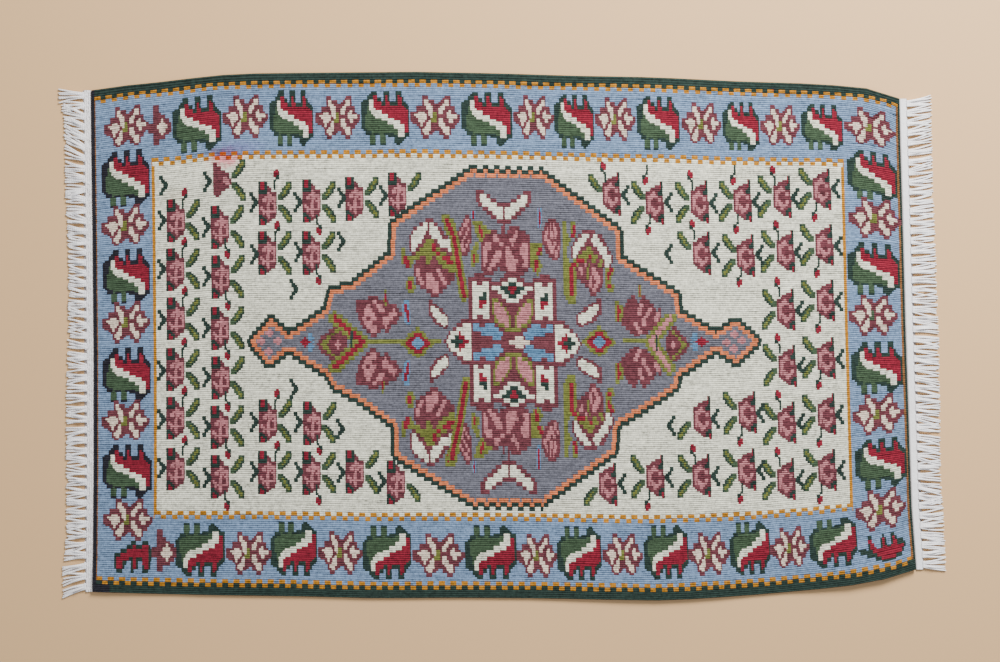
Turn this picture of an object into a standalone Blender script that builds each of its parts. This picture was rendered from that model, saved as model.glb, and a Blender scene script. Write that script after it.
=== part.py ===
"""Kilim doormat: a flat, weft-faced rug lying on the floor, fringed at its two short ends.

Units are metres, +Z is up. The rug's length runs along X and its width along Y. The origin is under
the middle of the whole rug, on the plane that it lies on.
"""

import math
import random

import bmesh
import bpy
import numpy as np
from mathutils import Vector

MM = 0.001

# The woven web
WEB_THICKNESS = 3.0 * MM
WEB_COLUMNS = 60
WEB_ROWS = 16
SEAM_GAP = 0.3 * MM

# The four edges of the web as it lies, drawn out of true by the loom: (x, y) in millimetres
TOP_EDGE = (
    (-410, 245.5), (-367, 251.5), (-327, 255), (-292, 260), (-247, 262), (-167, 263), (-87, 264),
    (-7, 262.5), (73, 260), (153, 258.5), (233, 254.5), (313, 252), (358, 248.5), (383, 243), (396, 237),
)
BOTTOM_EDGE = (
    (-408, -255.5), (-367, -257), (-287, -259), (-207, -260), (-127, -262), (-47, -261.5),
    (33, -262), (153, -264), (193, -262.5), (233, -260), (273, -257), (313, -253), (353, -248),
    (393, -240), (413, -233),
)
LEFT_EDGE = ((-408, -255.5), (-407, -134), (-407, -30), (-408, 90), (-410, 245.5))
RIGHT_EDGE = ((413, -233), (408.5, -170), (406, -94), (402.5, 10), (399.5, 120), (396, 237))

# Places where the web rises a little off the floor: centre, reach and rise in millimetres
LIFTS = (
    # x, y, reach_x, reach_y, rise
    (372, -250, 95, 62, 4.0),
    (392, 240, 80, 50, 2.4),
    (150, -270, 130, 44, 1.8),
    (-230, 272, 150, 46, 2.2),
    (-405, -258, 70, 48, 1.6),
)

# The fringes: a narrow woven heading with the knotted warp ends standing out of it
BUNCHES = 48
LOCKS_PER_BUNCH = 3
BUNCH_SQUEEZE = 0.86
HEADING_WIDTH = 8.5 * MM
HEADING_THICKNESS = 2.0 * MM
LOCK_WIDTH = 2.0 * MM
TIP_WIDTH = 1.5 * MM
TIP_THICKNESS = 1.6 * MM
LOCK_CLEARANCE = 0.45 * MM
LOCK_SECTIONS = (0.5, 1.0)
LEAN_SPREAD = 1.2
LENGTH_SPREAD = 1.6
GATHER = 0.3
BEND = 1.5

# How far the lock tips reach, and how far they lean along the edge: y, tip x and lean in millimetres
LEFT_TIPS = (
    (-258, -439, -8), (-235, -440, -4), (-200, -436, 0), (-130, -436, 2), (-60, -436, -2), (0, -434, 2),
    (80, -434, 1), (150, -437, 2), (200, -438, 3), (236, -440, 2), (246, -445, 0),
)
RIGHT_TIPS = (
    (-236, 444, -1), (-200, 443, 0), (-140, 439, -1), (-60, 438, -3), (0, 437, -2), (80, 434, 1),
    (150, 431, 2), (200, 430, 3), (237, 429.5, 4),
)

WEB_COLOUR = (0.33, 0.32, 0.30, 1)
COTTON_COLOUR = (0.83, 0.83, 0.86, 1)


def clear_scene():
    for item in list(bpy.data.objects):
        bpy.data.objects.remove(item, do_unlink=True)


def matte(name, colour, roughness):
    material = bpy.data.materials.new(name)
    material.use_nodes = True
    shader = material.node_tree.nodes["Principled BSDF"]
    shader.inputs["Base Color"].default_value = colour
    shader.inputs["Roughness"].default_value = roughness
    shader.inputs["Metallic"].default_value = 0.0
    return material


def along(points, position, place, value):
    """Read one column of a table against another, with straight runs between its rows."""
    places = [row[place] for row in points]
    values = [row[value] for row in points]
    return float(np.interp(position, places, values))


def long_edge(points, share):
    """The point on a long edge at a share of its length, in metres."""
    x = points[0][0] + share * (points[-1][0] - points[0][0])
    return Vector((x, along(points, x, 0, 1), 0)) * MM


def short_edge(points, share):
    """The point on a short edge at a share of its length, in metres."""
    y = points[0][1] + share * (points[-1][1] - points[0][1])
    return Vector((along(points, y, 1, 0), y, 0)) * MM


def on_web(u, v):
    """The place of a point of the web, as a patch stretched between its four edges."""
    across = long_edge(BOTTOM_EDGE, u) * (1 - v) + long_edge(TOP_EDGE, u) * v
    endways = short_edge(LEFT_EDGE, v) * (1 - u) + short_edge(RIGHT_EDGE, v) * u
    low = short_edge(LEFT_EDGE, 0) * (1 - u) + short_edge(RIGHT_EDGE, 0) * u
    high = short_edge(LEFT_EDGE, 1) * (1 - u) + short_edge(RIGHT_EDGE, 1) * u
    return across + endways - (low * (1 - v) + high * v)


def lift(point):
    """How far the web stands off the floor at a point."""
    height = 0.0
    for x, y, reach_x, reach_y, rise in LIFTS:
        distance = math.hypot((point.x / MM - x) / reach_x, (point.y / MM - y) / reach_y)
        if distance < 1:
            height = max(height, rise * (1 - distance ** 2) ** 2)
    return height * MM


def add_web(collection, material):
    """The woven web: one even sheet, flat on the floor but for the places where it lifts."""
    bpy.ops.mesh.primitive_grid_add(x_subdivisions=WEB_COLUMNS, y_subdivisions=WEB_ROWS, size=1)
    web = bpy.context.object
    web.name = web.data.name = "woven_web"
    for vertex in web.data.vertices:
        u = vertex.co.x + 0.5
        v = 0.5 - 0.5 * math.cos(math.pi * (vertex.co.y + 0.5))
        vertex.co = on_web(u, v)
        vertex.co.z = lift(vertex.co)
    body = web.modifiers.new("body", "SOLIDIFY")
    body.thickness = WEB_THICKNESS
    body.offset = 1
    finish(web, collection, material)


def lock_shares():
    """Where each lock is rooted, as a share of the heading's length."""
    shares = []
    for bunch in range(BUNCHES):
        for lock in range(LOCKS_PER_BUNCH):
            place = ((lock + 0.5) / LOCKS_PER_BUNCH - 0.5) * BUNCH_SQUEEZE + 0.5
            shares.append((bunch + place) / BUNCHES)
    return shares


def lock_paths(edge, tips, side, chance):
    """Where each lock goes: its centre at each section, kept in order and clear of the lock before it."""
    length = (edge[-1][1] - edge[0][1]) * MM
    paths = []
    behind = [-math.inf] * len(LOCK_SECTIONS)
    for number, share in enumerate(lock_shares()):
        bunch = number // LOCKS_PER_BUNCH
        root = short_edge(edge, share) + Vector((side * (SEAM_GAP + HEADING_WIDTH), 0, 0))
        if number % LOCKS_PER_BUNCH == 0:
            lean = chance.uniform(-LEAN_SPREAD, LEAN_SPREAD) * MM
        gather = ((bunch + 0.5) / BUNCHES - share) * length * GATHER
        drift = along(tips, root.y / MM, 0, 2) * MM + lean + gather
        reach = along(tips, root.y / MM, 0, 1) * MM - root.x
        reach -= side * chance.uniform(0, LENGTH_SPREAD) * MM
        path = []
        for place, section in enumerate(LOCK_SECTIONS):
            y = root.y + drift * section ** BEND
            y = max(y, behind[place] + width_at(section) + LOCK_CLEARANCE)
            behind[place] = y
            path.append(Vector((root.x + reach * section, y, 0)))
        paths.append(path)
    return paths


def width_at(section):
    """A lock's width at a share of its length."""
    return LOCK_WIDTH + (TIP_WIDTH - LOCK_WIDTH) * section


def only_vertices(geometry):
    return [item for item in geometry if isinstance(item, bmesh.types.BMVert)]


def add_fringe(name, edge, tips, side, seed, collection, material):
    """One fringe: the heading strip beside the web's end, with every lock drawn out of its far wall."""
    chance = random.Random(seed)
    shares = lock_shares()
    half = LOCK_WIDTH / ((edge[-1][1] - edge[0][1]) * MM) / 2
    cuts = [0.0] + [share + turn * half for share in shares for turn in (-1, 1)] + [1.0]
    bm = bmesh.new()
    rows = [short_edge(edge, cut) + Vector((side * SEAM_GAP, 0, 0)) for cut in cuts]
    chain = [bm.verts.new(point) for point in rows]
    line = [bm.edges.new(pair) for pair in zip(chain, chain[1:])]
    widened = bmesh.ops.extrude_edge_only(bm, edges=line)["geom"]
    across = Vector((side * HEADING_WIDTH, 0, 0))
    bmesh.ops.translate(bm, vec=across, verts=only_vertices(widened))
    raised = bmesh.ops.extrude_face_region(bm, geom=bm.faces[:], use_keep_orig=True)["geom"]
    upward = Vector((0, 0, HEADING_THICKNESS))
    bmesh.ops.translate(bm, vec=upward, verts=only_vertices(raised))
    bmesh.ops.recalc_face_normals(bm, faces=bm.faces[:])

    outer = [face for face in bm.faces if face.normal.x * side > 0.9]
    outer.sort(key=lambda face: face.calc_center_median().y)
    for face, path in zip(outer[1::2], lock_paths(edge, tips, side, chance)):
        for section, centre in zip(LOCK_SECTIONS, path):
            middle = face.calc_center_median()
            face = bmesh.ops.extrude_discrete_faces(bm, faces=[face])["faces"][0]
            half_width = width_at(section) / 2
            height = HEADING_THICKNESS + (TIP_THICKNESS - HEADING_THICKNESS) * section
            for vertex in face.verts:
                turn = 1 if vertex.co.y > middle.y else -1
                top = height if vertex.co.z > middle.z else 0.0
                vertex.co = centre + Vector((0, turn * half_width, top))
    mesh = bpy.data.meshes.new(name)
    bm.to_mesh(mesh)
    bm.free()
    fringe = bpy.data.objects.new(name, mesh)
    bpy.context.scene.collection.objects.link(fringe)
    finish(fringe, collection, material)


def finish(item, collection, material):
    """Give a piece its material and move it into the rug's own collection."""
    item.data.materials.append(material)
    for holder in list(item.users_collection):
        holder.objects.unlink(item)
    collection.objects.link(item)


def main():
    clear_scene()
    collection = bpy.data.collections.new("kilim_doormat")
    bpy.context.scene.collection.children.link(collection)
    wool = matte("wool_tapestry", WEB_COLOUR, 0.9)
    cotton = matte("cotton_warp", COTTON_COLOUR, 0.85)
    add_web(collection, wool)
    add_fringe("fringe_left", LEFT_EDGE, LEFT_TIPS, -1, 3, collection, cotton)
    add_fringe("fringe_right", RIGHT_EDGE, RIGHT_TIPS, 1, 5, collection, cotton)


main()
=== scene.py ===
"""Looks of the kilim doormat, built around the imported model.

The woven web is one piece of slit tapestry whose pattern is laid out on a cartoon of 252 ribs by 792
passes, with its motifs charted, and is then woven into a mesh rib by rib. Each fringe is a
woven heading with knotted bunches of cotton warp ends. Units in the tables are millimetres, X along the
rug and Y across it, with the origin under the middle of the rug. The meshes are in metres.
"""

from __future__ import annotations

import logging
import math
import random
from dataclasses import dataclass, field
from enum import Enum
from typing import Any, Mapping, Sequence

import bpy
import numpy as np
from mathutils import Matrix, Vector


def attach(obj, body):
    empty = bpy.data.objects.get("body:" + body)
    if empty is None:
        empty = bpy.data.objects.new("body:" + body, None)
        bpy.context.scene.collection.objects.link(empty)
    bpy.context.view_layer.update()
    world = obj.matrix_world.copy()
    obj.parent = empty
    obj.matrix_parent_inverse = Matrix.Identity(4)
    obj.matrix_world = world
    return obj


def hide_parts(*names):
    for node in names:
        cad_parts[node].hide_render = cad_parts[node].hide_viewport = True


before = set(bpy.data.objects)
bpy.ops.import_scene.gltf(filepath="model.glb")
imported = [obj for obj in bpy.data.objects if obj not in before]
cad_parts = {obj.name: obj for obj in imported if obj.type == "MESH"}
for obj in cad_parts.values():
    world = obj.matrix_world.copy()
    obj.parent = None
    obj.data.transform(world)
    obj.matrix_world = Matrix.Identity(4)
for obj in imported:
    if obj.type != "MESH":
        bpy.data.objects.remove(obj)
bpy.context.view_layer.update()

MM = 0.001
LOG = logging.getLogger("kilim_doormat")

Point = tuple[float, float]
Table = Sequence[Sequence[float]]


# Colours of the wool

class Dye(Enum):
    """The dyed wools, each with its letter in the charts and its colour as the eye sees it."""

    IVORY = ("i", 0xE2E2CF)
    GREEN = ("g", 0x2A3A35)
    MOSS = ("G", 0x41543F)
    CREAM = ("w", 0xDFCDBB)
    RED = ("r", 0x822233)
    BURGUNDY = ("b", 0x683840)
    PINK = ("p", 0xB3747A)
    OLIVE = ("o", 0x6C7238)
    SKY = ("c", 0x5A82A6)
    BLACK = ("k", 0x26262E)
    GOLD = ("y", 0xB47A22)
    ORANGE = ("a", 0xD0764E)
    BRONZE = ("z", 0x845A36)
    SLATE = ("s", 0x686974)
    BLUE = ("u", 0x7790B0)

    @property
    def letter(self) -> str:
        """The dye's letter in the charts."""
        return self.value[0]

    @property
    def linear(self) -> tuple[float, float, float]:
        """The dye's colour as linear light."""
        shares = [(self.value[1] >> shift & 255) / 255 for shift in (16, 8, 0)]
        red, green, blue = (s / 12.92 if s <= 0.04045 else ((s + 0.055) / 1.055) ** 2.4 for s in shares)
        return red, green, blue


DYES = list(Dye)
BY_LETTER = {dye.letter: number for number, dye in enumerate(DYES)}


class Flip(Enum):
    """How a charted motif is turned over before it is woven in: across its length, its height or both."""

    NONE = (False, False)
    ENDS = (True, False)
    TOP = (False, True)
    BOTH = (True, True)


# Charts: a letter is one small block of a motif and a dot leaves the ground as it is

ANIMAL = """
.....ggg...ggg...ggg....
....gggg...ggg...ggg....
...gggrr...grg...grg....
...gggrrgg.grg...grrg...
.gggiirrgg.grg...grrg...
ggggiirrrrggrrggggrrgg..
ggggiirrrrggrrggggrrggg.
gggGiirrrrrrrrrrrrrrrggg
gggGiiirrrrrrrrrrrrrrrgg
gggGGiiiiirrrrrrrrrrrrrg
gggGGiiiiirrrrrrrrrrrrrg
ggGGGGiiiiiiirrrrrrrrrrg
ggGGGGGiiiiiirrrrrrrrrrg
ggGGGGGGGGiiiiiirrrrrrrg
ggGGGGGGGGGGGiiiiiirrrrg
ggGGGGGGGGGGGiiiiiirrrrg
ggGGGGGGGGGGGGGGiiiiirrg
ggGGGGGGGGGGGGGGiiiiirrg
.ggGGGGGGGGGGGGGGGiiirrg
..gggGGGGGGGGGGGGGiiirrg
..gggGgggGGgggggGGiiiggg
....GGG..GGG.gggggiiiggg
....GGG..GGG....gggggg..
....GGG..GGG....ggggg...
....GGG..GGG....gggg....
....ggg..ggg.....gg.....
""".split()

HALF_ANIMAL = """
........ggg...ggg..
......gggrrgggrrrg.
...gggrrrrrrrrrrrgg
gggrrrrrrrrrrrrrrgg
grrrrrrggrrgggrrrgg
grrrgg..grrg..rrrg.
grrrg...grrg..grrg.
.ggg....gg....ggg..
""".split()

LYING_ANIMAL = """
.....gg.....g...gg.....
.....rr....grg..grg....
.....grr...grg..grrggg.
gggg.grrr..grrggrrrgggg
.ggggggrrrrrrrrrrrrrrrg
....gggggrrrrrrrrrrrrg.
........gggrrrrrrrggg..
...........ggggggg.....
""".split()

STAR = """
......bbb........bbb.....
......bbb.......bbbb.....
......bwwbbb...bbwwb.....
......bwwbbb..bbbwwb.....
......bwwwbbbbbbwwwb.....
...bbbbbwwwbbbbwwbbbbb...
...bbbbbwwwbbbwwwbbbbb...
...bbbbbbwwbbbwwbbbwbb...
bbbbwwwbbwwoobwwbbwwbbb..
bbwwwwwwbwwoobbbbbwwwwwbb
bbbwwwwwbbwoobbbbbwwwwwbb
bbbbwwwwbbooobwwbbbwwbbbb
bbbbwwwbbwooobwwbbbwwbbb.
.bbbbwbbwwbbbbwwwbbbbbb..
...bbwbbwwbbbbwwwbbbbb...
....bbbwwwbbbbbwwwwbbb...
.....bwwwwbbbbbbwwwb.....
.....bwwwbbb..bbwwwb.....
.....bbwwbb...bbbwwb.....
......bbb.......bbb......
......bbb.......bbb......
""".split()

HALF_STAR = """
..bbb......
..bbb......
..bbbb.....
..bbbbbb...
..bbbbwbbb.
bbbbbwwwbbb
bbbbwwwwwbb
bbbbbwwwbbb
..bbbbwbbb.
..bbbbbb...
..bbb......
..bbb......
""".split()

ROSE = """
grrgg.....
grrggb....
grrggbb...
gggggbb...
gggggpbbbb
bbbbbppbbb
bbbppppppb
bbppbppppb
bbppbppbpb
bbbbbpbppb
bbbbppbbpb
bpbbppbbpb
bppbppbbpb
bbpppppppb
bbpbppbbbb
ggbbppbbb.
gggbbpbbb.
grggbbb...
grrgbb....
grrg......
""".split()

PALE_ROSE = """
........rg.
.....bbbrg.
...bbbbbrg.
..bbbbbbgg.
bbbbpbbggg.
bbbpppbggg.
bppppppbbb.
bpppbbbppb.
bppbbbbppb.
bppbbbbbbbb
bppbbbbbbbb
bpppbbbppbb
bpbppbbppbb
bpbpppppbbb
bbbbpppbbbb
.bbbppbbggg
..bbbbbgggg
....bbbggrg
.....bbggrg
.........rg
""".split()

PLAIN_ROSE = """
bb.......
bbbb.....
bbbbbb...
bbbbbbbb.
bbbbbppb.
bbbbbpppb
bbbbbbppb
bbbbbbbb.
bbbbbb...
bbbb.....
.bb......
""".split()

LEAF = """
....GGg
....GoG
...GooG
..GGoGg
..GoGg.
.GGoGg.
GGoGg..
GGGg...
GGg....
""".split()

TWIG = """
gg...
gg...
.gg..
.ggg.
..ggg
..ggg
.ggg.
.gg..
gg...
gg...
""".split()

BUD = """
.rr.
rrrg
rrrg
rrgg
.ggg
gg..
g...
g...
g...
g...
""".split()

LEAF_PAIR = """
bbbb...................bbbb
bbiiibb.............bbiiibb
bbiiiiibbb.......bbbiiiiibb
.bbiiiiiiibbbbbbbiiiiiiibb.
...bbbiiiiiiibiiiiiiibbb...
.....bbbiiiiibiiiiibbb.....
.......bbbiiibiiibbb.......
..........bbbbbbb..........
.............b.............
.............b.............
.............b.............
.............b.............
""".split()

GARDEN_LEFT = """
............bbbb.....ooooo..
.........bbiibiibb...oroooo.
......bbiiiiibiiiibb.orrooo.
.....biiiiiibbiiiiibb.oorroo
....biiiiiibbbbiiiiibbb.oooo
....biiiiibboooobbiiiiiibb..
....biiibbboooorrbbiiiiiib..
oo..biibboooooorroobbbbiib..
oo...bboooooooooorrooobbbb..
orroooooobbbooobbooorrrroooo
orrroo.bbbbboobbbboooorrrrrr
..rro.bbbbbbbbbbbbbboooooo..
......bppbbbbbbbbppbbbbooo..
......bppbbbpppbbbppbbbbbb..
...ooo.bppbbppppbbbppbbbbb..
..orro.bbppbppppppbbppbb....
..orroo..bbbppppppbbbb......
...ooo......bbbpppbb........
..............bbbb..........
""".split()

GARDEN_RIGHT = """
oo..ooo....................
oo..orr....................
oo..orr...bbbbbbb..........
ooo.rro.bbiiiibbiibbb......
oooo..bbiiiibbbiiiibbb.....
ooo..biiiiibbbbbiiiiibb....
oo..biiiibbbooobbbiiiiib...
oo..biiibboooooobbbiiiibb..
oo..biibooooorrooobbbiiiib.
ooo..oorrrrobbboobboobiiib.
oooorrrobbbpbobbbboobbiib..
ooorrobbppbbobbppbbbb.oorro
ooorroobbpbbobbpppbbb.orro.
ooorroobbbbbobpbpppbb.oro..
ooorroo..bbbbppbbppbb.ooo..
ooorroo....bbppbppbb..orroo
ooorroo......bbppbb....ooo.
ooorroo.......bbb..........
.ooooo.....................
..oooo.....................
""".split()

MIDDLE_ROSE = """
.ooooo.............................
..oorooo.......b...bbbbb...........
..oorroooobbb..b..bbbbpbbbb........
...oorobbbbppbbbbbbbbppbbbbbb......
....oobbbbbpppbbbbbpppbbbbbbb......
..oo.bbpppbbbbppbbbbpbbbbpppboooooo
.ooo.bppppbbbbbbbppbbbbbppppboooorr
ooo..bppbbbbpppbbpppbbbbppppbooorro
oroo.bppbbbppppbbppppbbbbpppboooo..
oroo.bppbbppppbbbppppppbbbppboorro.
oo...bpbbpppbbbbbpppppbbbpppboorroo
.....bbbppbbb.bbbbppppbbbbbb..oroo.
......bbbbb......bbbbbbbbb......o..
""".split()

SLANTED_BUD = """
....bb.
...bppb
..bppbb
.bpbbpb
bpbbpbb
bbbpbbb
bbpbbpb
bppbpb.
.bppbb.
..bbb..
""".split()

ROUND_BUD = """
....bbbbb....
..bbbpbpbbb..
.bbpbpbppbbb.
bbppbppbppbb.
bppbbppbpbbb.
bppppbbbbbbb.
bbbpppbppbbb.
.bbbppppbbpb.
..bbbppbppb..
....bbbbppb..
......bbbb...
""".split()

CREAM_LEAF = """
bb........
bbbb......
biibb.....
biiiibb...
bbiiiibb..
bbiiiiiib.
.bbiiiiiib
..bbiiiiib
...bbbiiib
.....bbibb
.......bb.
""".split()

BRACKET = """
.ccc.
crrc.
crrc.
crrrc
.crrc
.crrc
.ccrc
..ccc
""".split()

SPRIG = """
oo..
oroo
orro
oroo
oro.
""".split()

SIDE_ROSE = """
......bbbbb............
bbbbbbbbppbbbbbb.......
bbbbbppbbbpppbbbbbbb...
bbbbppppbbbpppbbbbpbb..
.bbbpppppbbbbbbbppppbbb
.bbppbbpppbbbpppppbbb..
..bbppppbbbbbpppbbbb...
...bbpppppbbbbpbb......
.....bbpppbb..bb.......
.......bbb.............
""".split()

TULIP = """
......bb...bb........
....bbbbb.bbbbb......
...bbbbbbbppbbbbb....
..bbbbbbbppbbbppbb.bb
.bbbbbbbbppbbppbbbppb
.bbbbbbbbbbbppbbbpppb
bbbbbbbbbbbppbbbbppbb
.bbbbbbppbbppbbbbbbb.
...bbbbbppbbbbbbbb...
.....bbbbppbbb.......
.......bbb...........
""".split()

SMALL_DIAMOND = """
.......oo.......
.....oooooo.....
...ooorrrroo....
..oorrrccrroo...
.oorrrccccrrroo.
oorrrccccccrrroo
.oorrrccccrrroo.
..oorrrccrroo...
...ooorrrroo....
.....oooooo.....
.......oo.......
""".split()

ARROW_DIAMOND = """
........bbb......
......bbboobb....
....bbboobbbbb...
..bbboobbbbbbbb..
.bbooobbbbpbbbb..
bbooobbbbpppbbb..
.bbooobbbbpbbbb..
..bbboobbbbbbbb..
....bbboobbbbb...
......bbboobb....
........bbb......
""".split()

RED_CROSS = """
....cc.
....cc.
..r.ccc
.rrrcc.
rrrrr.c
.rrrcc.
..r.ccc
....cc.
....cc.
""".split()

PINK_DIAMOND = """
.p.
ppp
ppp
.p.
""".split()

CROSS_QUARTER = """
...............bbbbb.........bbbb
............bbbbbbbbbbb....bbbbii
............bbiibbbiiibbbbbbiiigg
............bbiiiiiiiibiiiiggggrr
............bbiiiiiiiibbbbiiigggr
............bbiiiiiiiibbbbbbiiigg
............bbiiiiiiiibooobbbbiii
............bbiiiiiiiibopppobbbbb
............bbiiiiiiiibopppppobbb
............bbiiiiiiiiboppppppobb
............bbiibbbiiibboppppppob
........bbbbbbbbbbbbbbbboopppppob
......bbbiiiibcccbbbccccbboooppob
....bbiiiiiiibccccccccccccbbboooo
..biiiiriiiiibbbbbccccccccccbbbbb
.biiiggrrriiibbbbbbbbbbccccbbbbbb
biiggggggrrribbbbbbbbbbbbbbbbbbbb
""".split()

CROSS_HEART = """
...wwww...
wwwwwwwwww
...wwww...
""".split()

PANEL_SEED = """
..gg
gggg
rrrr
rr..
""".split()


def mirrored_cross() -> list[str]:
    """The whole cross, from its upper left quarter.

    Returns:
        Its chart, whose middle row isn't doubled.
    """
    upper = [row + row[::-1] for row in CROSS_QUARTER]
    return upper + upper[-2::-1]


# Where the motifs of the border stand: left, right, top and bottom, in millimetres on the picture

PICTURE_ORIGIN = (502.0, 336.0)
TOP_ANIMALS = (
    (172.5, 222, 97, 152), (269.5, 314, 92, 147), (360.5, 409.5, 92, 146), (460.5, 512.5, 92, 146),
    (554, 594.5, 95, 148.5), (636, 679.5, 97, 150), (721.5, 759, 102, 152.5), (800, 842.5, 104, 152),
)
TOP_STARS = (
    (104, 150, 105, 147), (222.5, 269.5, 96, 139), (314.5, 360.5, 96, 138.5), (410, 460.5, 94.5, 139),
    (513, 554, 97.5, 140), (595, 636, 99.5, 142), (680.5, 721, 103, 144.5), (759.5, 800, 106, 146.5),
    (842.5, 895, 108.5, 147.5),
)
BOTTOM_ANIMALS = (
    (175.5, 225, 522.5, 576.5), (270.5, 317, 522.5, 576), (362.5, 411.5, 524.5, 579),
    (465, 517, 524.5, 579), (557, 602, 526, 579), (643.5, 687.5, 525, 579.5), (729, 769.5, 521.5, 574.5),
    (808.5, 856.5, 517.5, 568),
)
BOTTOM_STARS = (
    (226, 271.5, 530, 574.5), (318, 363, 531.5, 574.5), (412, 465, 533, 576), (517, 557.5, 533.5, 576),
    (602, 642.5, 533, 575), (688, 729, 532, 574.5), (770, 809, 527.5, 568),
)
LEFT_ANIMALS = (
    (102, 150.5, 150, 207), (102.5, 150.5, 248, 304), (103.5, 152, 347, 402.5), (103.5, 153, 444, 500),
)
LEFT_STARS = (
    (101.5, 150.5, 203.5, 245.5), (102.5, 151.5, 300, 344), (102.5, 151, 399, 441), (104, 154, 497, 540),
)
RIGHT_ANIMALS = (
    (845.5, 896.5, 150, 202.5), (847, 899.5, 241.5, 297.5), (850.5, 902, 339.5, 395),
    (854, 906, 436.5, 490.5),
)
RIGHT_STARS = (
    (847, 900.5, 198.5, 241), (847.5, 897.5, 294.5, 337.5), (852, 903.5, 392, 436), (855, 906, 488, 531.5),
)
UPPER_HALF_STAR = (149, 172.5, 104, 146)
LOWER_HALF_STAR = (152, 176.5, 528, 570.5)
LEFT_HALF_ANIMAL = (115, 152.5, 539.5, 572)
RIGHT_HALF_ANIMAL = (856.5, 904, 531.5, 561.5)

# Roses in columns: the place along the rug, then the places across it
LEFT_ROSE_COLUMNS = (
    (-326, (115, 66, 16.5, -34, -83, -132.5)),
    (-281.5, (109, 59, 8, -42, -90.5, -141)),
    (-234, (133, 82.5, -85.5, -136.5)),
    (-190, (134, 83.5, -86.5, -136.5)),
)
RIGHT_ROSES_BUD_ABOVE = (
    (110, 141), (197.5, 133), (279.6, 138), (199.6, 83.4), (282.7, 83.4), (283.8, 26), (284.8, -30),
    (199.6, -82.4), (284.8, -87.7), (105.9, -148), (199.6, -140), (283.8, -144),
)
RIGHT_ROSES_BUD_BELOW = (
    (153, 133), (240.6, 134), (319.6, 146.5), (243.8, 80.2), (321.7, 90.7), (322.7, 34.4),
    (323.8, -22.4), (244.8, -77), (323.8, -79), (153, -141), (244.8, -134.5), (324.8, -134.5),
)
RIGHT_LONE_LEAVES = {
    (110, 141): (True, False), (199.6, 83.4): (True, False), (199.6, -82.4): (False, True),
    (105.9, -148): (False, True),
}
BUDLESS = ((199.6, -82.4), (105.9, -148))
HANGING_BUDS = ((143, 160), (230.6, 161))
LONE_TWIGS = ((-338.3, 149), (-160.4, 95), (-208, 46), (-208, -53), (-161.5, -93))
LONE_TWIGS_RIGHT = ((166.5, 82.3), (169, -88.7))
ROSE_SIZE = (18.2, 42.7)
PALE_ROSE_SIZE = (19, 42.7)
LEAF_SIZE = (14.5, 18.6)
TWIG_SIZE = (8.8, 20)
BUD_SIZE = (6.2, 20.7)

# The medallion's edge, between its green and its orange line, with a pendant at each end
MEDALLION = (
    (-252, -6.4), (-230.6, 17), (-212.7, 1.5), (-175.5, 26), (-171.5, 45), (-149, 52), (-111, 82),
    (-110, 112), (-30.5, 165.5), (39, 163.5), (117.5, 105), (118, 78), (160, 51), (175.4, 41.7),
    (177, 24), (213.7, 2.7), (233.7, 15.5), (257.5, -5.5), (234, -27), (213.7, -14.4), (176, -40),
    (175, -51), (161, -60.5), (115, -89.5), (113, -116), (41, -167), (-30, -167), (-107, -120),
    (-108, -89.5), (-142, -64.7), (-169, -50.5), (-174, -40), (-212.7, -14), (-232.7, -29.7),
)
MEDALLION_FLATS = ((-30.5, 39, 166.6), (-30, 41, -167.5))

# The borders, in ribs from the long edges and passes from the ends
SELVEDGE_RIBS = (3, 4)
RIB_STOPS = (0, 3, 7)
RIB_PLACES = (0, 3.72, 7.24)
GOLD_RIBS = 4
INNER_GOLD_RIB = 37
END_LINE_PASSES = 3
GOLD_PASSES = 2
DARK_CORNER_PASSES = 16
SIDE_BORDER_PASSES = (58, 56)
INNER_LINE_PASSES = 3
TOOTH_PASSES = 11


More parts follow.
